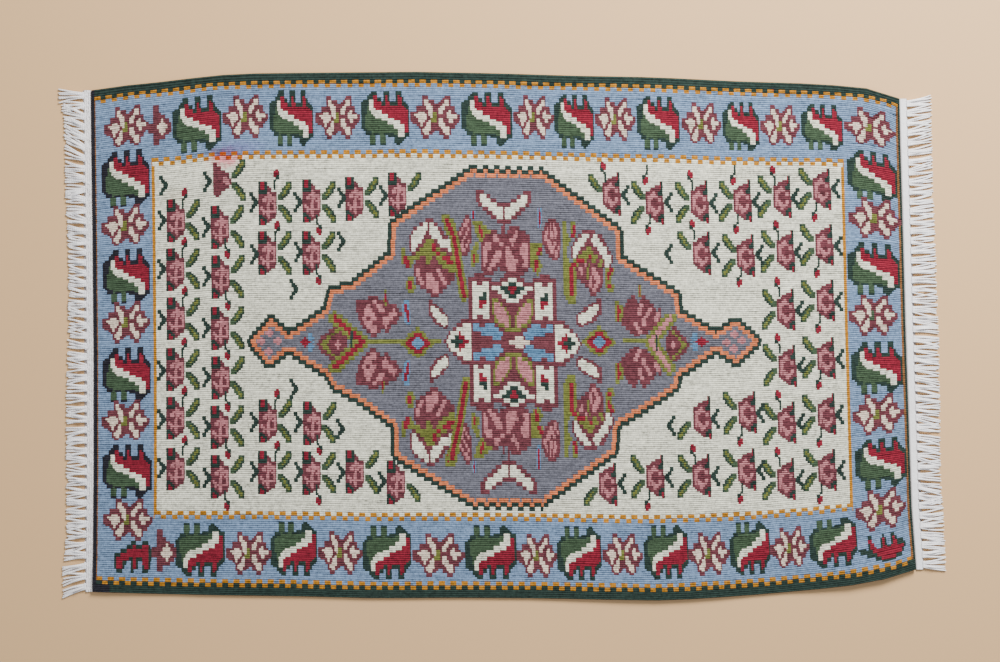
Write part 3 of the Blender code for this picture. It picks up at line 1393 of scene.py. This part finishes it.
@dataclass
class WovenWeb:
    """The web, woven from its cartoon: each rib is a low round ridge, cut where its wool changes."""

    cartoon: Cartoon
    thickness: float = 3.0
    groove_depth: float = 0.45
    slit_depth: float = 0.4
    longest_run: int = 32
    under_ribs: int = 4
    waver: float = 0.32
    ragged: float = 0.28
    swell: float = 0.3
    seed: int = 11

    def cuts(self, rib: int) -> list[int]:
        """The passes where a rib is cut: where its wool changes, and often enough to follow the rug."""
        row = self.cartoon.grid[rib]
        changes = [0] + [int(p) + 1 for p in np.flatnonzero(np.diff(row))] + [self.cartoon.passes]
        cuts = [0]
        for start, end in zip(changes, changes[1:]):
            pieces = max(1, math.ceil((end - start) / self.longest_run))
            cuts += [start + round((end - start) * part / pieces) for part in range(1, pieces + 1)]
        return cuts

    def build(self, material: bpy.types.Material) -> bpy.types.Object:
        """Weave the mesh.

        Args:
            material: The wool.

        Returns:
            The web.
        """
        c = self.cartoon
        chance = np.random.default_rng(self.seed)
        cuts = [self.cuts(rib) for rib in range(c.ribs)]
        lines: list[tuple[float, np.ndarray, np.ndarray, np.ndarray]] = []
        for rib in range(c.ribs + 1):
            above = cuts[rib - 1] if rib > 0 else []
            below = cuts[rib] if rib < c.ribs else []
            passes = np.array(sorted(set(above) | set(below)))
            depth = np.full(len(passes), self.groove_depth)
            if 0 < rib < c.ribs:
                at = np.minimum(passes, c.passes - 1)
                depth += self.slit_depth * (c.grid[rib - 1][at] != c.grid[rib][at])
            else:
                depth += self.thickness / 2 - self.groove_depth
            lines.append((float(rib), passes, passes.astype(float), depth))
            if rib < c.ribs:
                own = np.array(cuts[rib])
                shift = chance.uniform(-self.ragged, self.ragged, len(own)) / c.pass_pitch
                shift[0] = shift[-1] = 0
                lines.append((rib + 0.5, own, own + shift, np.zeros(len(own))))
        return self.mesh(lines, cuts, material, chance)

    def mesh(self, lines: list, cuts: list, material: bpy.types.Material, chance: Any) -> bpy.types.Object:
        """Turn the rib lines into one closed mesh with its colours and weave map."""
        c = self.cartoon
        vertices: list[np.ndarray] = []
        starts: list[int] = []
        index: list[dict[int, int]] = []
        total = 0
        for place, passes, shifted, depth in lines:
            points = self.points(place, shifted, self.thickness - depth)
            vertices.append(points)
            index.append({int(p): total + n for n, p in enumerate(passes)})
            starts.append(total)
            total += len(points)
        faces: list[list[int]] = []
        dyes: list[int] = []
        self.lay_top(lines, cuts, starts, index, faces, dyes)

        under = self.under_cuts(cuts)
        under_lines = []
        under_starts = []
        under_index = []
        for strip in range(len(under) + 1):
            above = under[strip - 1] if strip > 0 else []
            below = under[strip] if strip < len(under) else []
            passes = np.array(sorted(set(above) | set(below)))
            points = self.points(float(strip * self.under_ribs), passes.astype(float), np.zeros(len(passes)))
            under_lines.append(passes)
            under_index.append({int(p): total + n for n, p in enumerate(passes)})
            under_starts.append(total)
            vertices.append(points)
            total += len(points)
        self.lay_under(under, under_starts, under_index, faces, dyes)
        self.close_rim(lines, starts, under_lines, under_starts, faces, dyes)

        coordinates = np.concatenate(vertices)
        mesh = bpy.data.meshes.new("web")
        mesh.from_pydata(coordinates[:, :3] * MM, [], faces)
        self.colour(mesh, np.array(dyes), coordinates)
        web = keep("web", mesh, material)
        smooth(web, 70)
        self.crease(mesh, coordinates)
        return web

    def crease(self, mesh: bpy.types.Mesh, coordinates: np.ndarray) -> None:
        """Keep the grooves between the ribs sharp, so that each rib is shaded as a round ridge."""
        ends = np.zeros(len(mesh.edges) * 2, dtype=np.int32)
        mesh.edges.foreach_get("vertices", ends)
        ribs = coordinates[:, 4][ends.reshape(-1, 2)]
        in_groove = (ribs[:, 0] == ribs[:, 1]) & (ribs[:, 0] % 1 == 0)
        sharp = np.zeros(len(mesh.edges), dtype=bool)
        mesh.edges.foreach_get("use_edge_sharp", sharp)
        mesh.edges.foreach_set("use_edge_sharp", sharp | in_groove)

    def points(self, rib: float, passes: np.ndarray, height: np.ndarray) -> np.ndarray:
        """Places on one line of the web.

        Args:
            rib: The line's place, counted in ribs from the top.
            passes: The points' places, counted in passes.
            height: Their heights above the web's underside in millimetres.

        Returns:
            Rows of x, y, z in millimetres, then the pass and the rib.
        """
        c = self.cartoon
        u = passes / c.passes
        v = np.full(len(passes), 1 - c.rib_share(rib))
        x, y = c.shape.place(u, v)
        inner = np.minimum(1, np.minimum(rib, c.ribs - rib) / 4)
        y = y + inner * self.waver * np.sin(x / 17 + 9 * np.sin(rib * 0.7)) * np.sin(x / 71 + rib * 0.23)
        swell = self.swell * np.sin(x / 37 + y / 61) * np.sin(y / 29 - x / 83) * (height > 0)
        z = c.shape.lift(x, y) + height - self.swell * (height > 0) * 0.5 + swell * 0.5
        return np.column_stack((x, y, z, passes, np.full(len(passes), rib)))

    def lay_top(
        self, lines: list, cuts: list, starts: list, index: list, faces: list, dyes: list,
    ) -> None:
        """Lay the two flanks of every rib, a face for each run of one wool."""
        for rib, own in enumerate(cuts):
            row = self.cartoon.grid[rib]
            valley, crest, next_valley = rib * 2, rib * 2 + 1, rib * 2 + 2
            for number, (start, end) in enumerate(zip(own, own[1:])):
                high = range(index[valley][start], index[valley][end] + 1)
                low = range(index[next_valley][start], index[next_valley][end] + 1)
                a = starts[crest] + number
                faces.append([a, a + 1, *reversed(high)])
                faces.append([*low, a + 1, a])
                dyes += [int(row[start])] * 2

    def under_cuts(self, cuts: list) -> list[list[int]]:
        """The cuts of the underside, where one flat strip does for a few ribs."""
        strips = [cuts[rib] for rib in range(0, self.cartoon.ribs, self.under_ribs)]
        strips[-1] = cuts[-1]
        return strips

    def lay_under(self, under: list, starts: list, index: list, faces: list, dyes: list) -> None:
        """Lay the underside, which shows the same pattern."""
        for strip, own in enumerate(under):
            row = self.cartoon.grid[strip * self.under_ribs if strip < len(under) - 1 else -1]
            for start, end in zip(own, own[1:]):
                high = range(index[strip][start], index[strip][end] + 1)
                low = range(index[strip + 1][start], index[strip + 1][end] + 1)
                faces.append([*high, *reversed(low)])
                dyes.append(int(row[start]))

    def close_rim(
        self, lines: list, starts: list, under_lines: list, under_starts: list, faces: list, dyes: list,
    ) -> None:
        """Close the web along its four edges."""
        grid = self.cartoon.grid
        for top, below, row, upper in (
            (0, 0, grid[0], True), (len(lines) - 1, len(under_lines) - 1, grid[-1], False),
        ):
            count = len(under_lines[below])
            for number in range(count - 1):
                a, b = under_starts[below] + number, under_starts[below] + number + 1
                d, e = starts[top] + number, starts[top] + number + 1
                faces.append([b, a, d, e] if upper else [a, b, e, d])
                dyes.append(int(row[under_lines[below][number]]))
        lines_below = 2 * self.under_ribs
        for strip in range(len(under_lines) - 1):
            chain = range(strip * lines_below, (strip + 1) * lines_below + 1)
            left = [starts[line] for line in reversed(chain)]
            right = [starts[line] + len(lines[line][1]) - 1 for line in chain]
            near, far = under_starts[strip], under_starts[strip + 1]
            faces.append([near, far, *left])
            dyes.append(int(grid[strip * self.under_ribs][0]))
            near += len(under_lines[strip]) - 1
            far += len(under_lines[strip + 1]) - 1
            faces.append([far, near, *right])
            dyes.append(int(grid[strip * self.under_ribs][-1]))

    def colour(self, mesh: bpy.types.Mesh, dyes: np.ndarray, coordinates: np.ndarray) -> None:
        """Write each face's wool and each corner's place in the weave."""
        c = self.cartoon
        palette = np.array([(*dye.linear, 1.0) for dye in DYES], dtype=np.float32)
        sizes = np.zeros(len(mesh.polygons), dtype=np.int32)
        mesh.polygons.foreach_get("loop_total", sizes)
        attribute = mesh.color_attributes.new("dye", "FLOAT_COLOR", "CORNER")
        attribute.data.foreach_set("color", np.repeat(palette[dyes], sizes, axis=0).ravel())
        corners = np.zeros(len(mesh.loops), dtype=np.int32)
        mesh.loops.foreach_get("vertex_index", corners)
        places = coordinates[corners][:, 3:] * (c.pass_pitch * MM, c.rib_pitch * MM)
        uv = mesh.uv_layers.new(name="weave")
        uv.data.foreach_set("uv", places.astype(np.float32).ravel())


@dataclass
class Fringe:
    """One end of the rug: the woven heading and the knotted warp ends beyond it."""

    name: str
    node: str
    edge: Table
    side: int
    tips: Table
    seed: int
    bunches: int = 48
    yarns: int = 6
    gap: float = 0.3
    heading_width: float = 8.5
    heading_height: float = 2.0
    yarn: float = 1.75
    rings: int = 10
    sides: int = 5
    root_share: float = 0.6
    tip_share: float = 1.18
    droop: float = 1.1
    pebble: float = 1.0

    def build(self, material: bpy.types.Material) -> bpy.types.Object:
        """Model the heading and its bunches as one piece.

        Args:
            material: The cotton.

        Returns:
            The fringe.
        """
        self.chance = random.Random(self.seed)
        self.vertices: list[Point3] = []
        self.faces: list[list[int]] = []
        self.uv: list[Point] = []
        self.heading()
        for bunch in range(self.bunches):
            self.bunch(bunch)
        mesh = bpy.data.meshes.new(self.name)
        mesh.from_pydata([Vector(p) * MM for p in self.vertices], [], self.faces)
        layer = mesh.uv_layers.new(name="yarn")
        layer.data.foreach_set("uv", [value for pair in self.uv for value in pair])
        piece = keep(self.name, mesh, material)
        smooth(piece, 60)
        return piece

    def root(self, share: float) -> Point:
        """The place on the heading's far wall at a share of the edge, from the bottom."""
        y = self.edge[0][1] + share * (self.edge[-1][1] - self.edge[0][1])
        x = float(np.interp(y, [p[1] for p in self.edge], [p[0] for p in self.edge]))
        return x + self.side * (self.gap + self.heading_width), y

    def heading(self) -> None:
        """The narrow white band: wefts packed across the warps, as one pebbled strip."""
        columns, rows = 15, 480
        first = len(self.vertices)
        for row in range(rows + 1):
            x, y = self.root(row / rows)
            for column in range(columns + 1):
                share = column / columns
                in_x = x - self.side * (1 - share) * self.heading_width
                wave = math.sin(share * math.pi * 8 + row % 4 * math.pi / 2) * math.sin(row * math.pi / 2)
                rough = self.pebble * (0.28 * wave + self.chance.uniform(-0.34, 0.34))
                rim = min(1.0, share * 6, (1 - share) * 6)
                height = 0.25 + rim * (self.heading_height - 0.4 - 0.3 * self.pebble + rough)
                self.vertices.append((in_x, y, max(height, 0.05)))
        width = columns + 1
        for row in range(rows):
            for column in range(columns):
                a = first + row * width + column
                corners = [a, a + 1, a + 1 + width, a + width]
                self.faces.append(corners if self.side > 0 else corners[::-1])
                self.uv += [(row * MM, column / columns)] * 4
        low = len(self.vertices)
        for row in (0, rows):
            for column in (0, columns):
                x, y, _ = self.vertices[first + row * width + column]
                self.vertices.append((x, y, 0.0))
        self.faces.append([low, low + 2, low + 3, low + 1] if self.side > 0 else [low, low + 1, low + 3, low + 2])
        self.uv += [(0.0, 0.0)] * 4

    def bunch(self, number: int) -> None:
        """One knotted bunch of warp ends."""
        chance = self.chance
        share = (number + 0.5) / self.bunches
        x, y = self.root(share)
        pitch = (self.edge[-1][1] - self.edge[0][1]) / self.bunches
        lean = float(np.interp(y, [t[0] for t in self.tips], [t[2] for t in self.tips]))
        reach = float(np.interp(y, [t[0] for t in self.tips], [t[1] for t in self.tips])) - x
        lean += chance.uniform(-2.4, 2.4)
        self.knot(x - self.side * 0.2, y, pitch * 0.66)
        order = list(range(self.yarns))
        chance.shuffle(order)
        for level, strand in enumerate(order):
            offset = (strand + 0.5) / self.yarns - 0.5
            start = y + offset * pitch * self.root_share
            end = y + lean + offset * pitch * self.tip_share + chance.uniform(-2.0, 2.0)
            length = reach - self.side * abs(chance.gauss(0, 1.2))
            bow = chance.uniform(-1.0, 1.0)
            over = 0.45 * level
            path = []
            for ring in range(self.rings):
                t = ring / (self.rings - 1)
                at_x = x - self.side * 1.2 + (length + self.side * 1.2) * t
                at_y = start + (end - start) * t ** 1.15 + bow * math.sin(math.pi * t)
                ground = self.yarn / 2
                lift = self.droop * (1 - t) ** 3 + over * math.sin(math.pi * min(1, t * 1.3)) ** 2
                path.append((at_x, at_y, ground + lift))
            self.tube(path, self.yarn * chance.uniform(0.92, 1.08), self.sides)

    def knot(self, x: float, y: float, width: float) -> None:
        """The wrap of yarn that holds a bunch together at its root."""
        half = width / 2
        path = []
        for ring in range(7):
            t = ring / 6
            path.append((x + self.side * 0.5 * math.sin(math.pi * t), y - half + width * t, 1.25))
        self.tube(path, 2.3, 6)

    def tube(self, path: Sequence[tuple[float, float, float]], width: float, sides: int) -> None:
        """Add a closed round tube along a path.

        Args:
            path: The points of its middle line in millimetres.
            width: Its diameter in millimetres.
            sides: The corners of its section.
        """
        first = len(self.vertices)
        points = [Vector(p) for p in path]
        run = 0.0
        runs = []
        for number, point in enumerate(points):
            if number:
                run += (point - points[number - 1]).length
            runs.append(run)
            ahead = points[min(number + 1, len(points) - 1)] - points[max(number - 1, 0)]
            ahead.normalize()
            sideways = ahead.cross(Vector((0, 0, 1))).normalized()
            upward = sideways.cross(ahead)
            taper = 0.8 if number in (0, len(points) - 1) else 1.0
            for corner in range(sides):
                angle = 2 * math.pi * corner / sides
                spoke = sideways * math.cos(angle) + upward * math.sin(angle)
                place = point + spoke * (width / 2 * taper)
                self.vertices.append((place.x, place.y, max(place.z, 0.02)))
        for ring in range(len(points) - 1):
            for corner in range(sides):
                after = (corner + 1) % sides
                a, b = first + ring * sides + corner, first + ring * sides + after
                self.faces.append([a, b, b + sides, a + sides])
                low, high = runs[ring] * MM, runs[ring + 1] * MM
                here, there = corner / sides, (corner + 1) / sides
                self.uv += [(low, here), (low, there), (high, there), (high, here)]
        last = first + (len(points) - 1) * sides
        self.faces.append([first + corner for corner in reversed(range(sides))])
        self.faces.append([last + corner for corner in range(sides)])
        self.uv += [(0.0, 0.0)] * sides + [(run * MM, 0.0)] * sides


Point3 = tuple[float, float, float]


@dataclass
class Studio:
    """The plain floor, the soft light and the camera straight above the rug."""

    aim: Point = (-2.0, 5.0)
    view_width: float = 1000.0
    lens: float = 50.0
    sensor: float = 36.0
    floor_size: float = 6.0

    def build(self) -> None:
        """Set up everything that isn't the rug."""
        bpy.ops.object.select_all(action="DESELECT")
        bpy.ops.mesh.primitive_plane_add(size=self.floor_size, location=(0, 0, -0.0002))
        floor = bpy.context.object
        floor.name = "floor"
        floor.data.materials.append(PlainFloor().material())
        self.light("key", (0.75, 1.35, 1.15), 0.7, 91, (1.0, 0.975, 0.94))
        self.light("fill", (-0.6, -1.6, 2.6), 2.5, 10, (0.93, 0.96, 1.0))
        world = bpy.data.worlds.new("studio")
        world.use_nodes = True
        world.node_tree.nodes["Background"].inputs["Color"].default_value = (0.92, 0.95, 1.0, 1)
        world.node_tree.nodes["Background"].inputs["Strength"].default_value = 0.48
        bpy.context.scene.world = world
        self.camera()

    def light(self, name: str, place: Point3, size: float, power: float, colour: Point3) -> None:
        """Add one soft light, turned to the rug."""
        data = bpy.data.lights.new(name, "AREA")
        data.size = size
        data.energy = power
        data.color = colour
        lamp = bpy.data.objects.new(name, data)
        lamp.location = place
        lamp.rotation_euler = (-Vector(place)).to_track_quat("-Z", "Y").to_euler()
        bpy.context.scene.collection.objects.link(lamp)

    def camera(self) -> None:
        """Add the camera."""
        data = bpy.data.cameras.new("camera")
        data.lens = self.lens
        data.sensor_width = self.sensor
        camera = bpy.data.objects.new("camera", data)
        height = self.view_width * self.lens / self.sensor
        camera.location = Vector((self.aim[0], self.aim[1], height)) * MM
        bpy.context.scene.collection.objects.link(camera)
        bpy.context.scene.camera = camera


LEFT_TIPS = (
    # y, tip x, lean
    (-258, -439, -8), (-235, -440, -4), (-200, -436, 0), (-130, -436, 2), (-60, -436, -2), (0, -434, 2),
    (80, -434, 1), (150, -437, 1), (170, -437, 5), (198, -438, 11), (216, -438, 6), (228, -440, 0),
    (238, -443, -2), (246, -445, -3),
)
RIGHT_TIPS = (
    (-236, 444, -1), (-200, 443, 0), (-140, 439, -1), (-60, 438, -3), (0, 437, -2), (80, 434, 1),
    (150, 431, 2), (200, 430, 3), (237, 429.5, 4),
)


def report(piece: bpy.types.Object) -> None:
    """Log a piece's name and its number of triangles."""
    piece.data.calc_loop_triangles()
    LOG.info("%s: %d triangles", piece.name, len(piece.data.loop_triangles))


def main() -> None:
    """Build the rug piece by piece, and then the studio round it."""
    logging.basicConfig(level=logging.INFO, format="%(message)s")
    shape = RugShape()
    cartoon = Cartoon(shape)
    Pattern(cartoon).weave()
    web = WovenWeb(cartoon).build(TapestryWool().material())
    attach(web, "root")
    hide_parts("woven_web")
    report(web)

    cotton = CottonYarn().material()
    for name, node, edge, side, tips, seed, pebble, root_share in (
        ("left_fringe", "fringe_left", shape.left, -1, LEFT_TIPS, 3, 1.3, 0.5),
        ("right_fringe", "fringe_right", shape.right, 1, RIGHT_TIPS, 5, 0.4, 0.6),
    ):
        fringe = Fringe(name, node, edge, side, tips, seed, pebble=pebble, root_share=root_share).build(cotton)
        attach(fringe, "root")
        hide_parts(node)
        report(fringe)

    Studio().build()


if __name__ == "__main__":
    main()
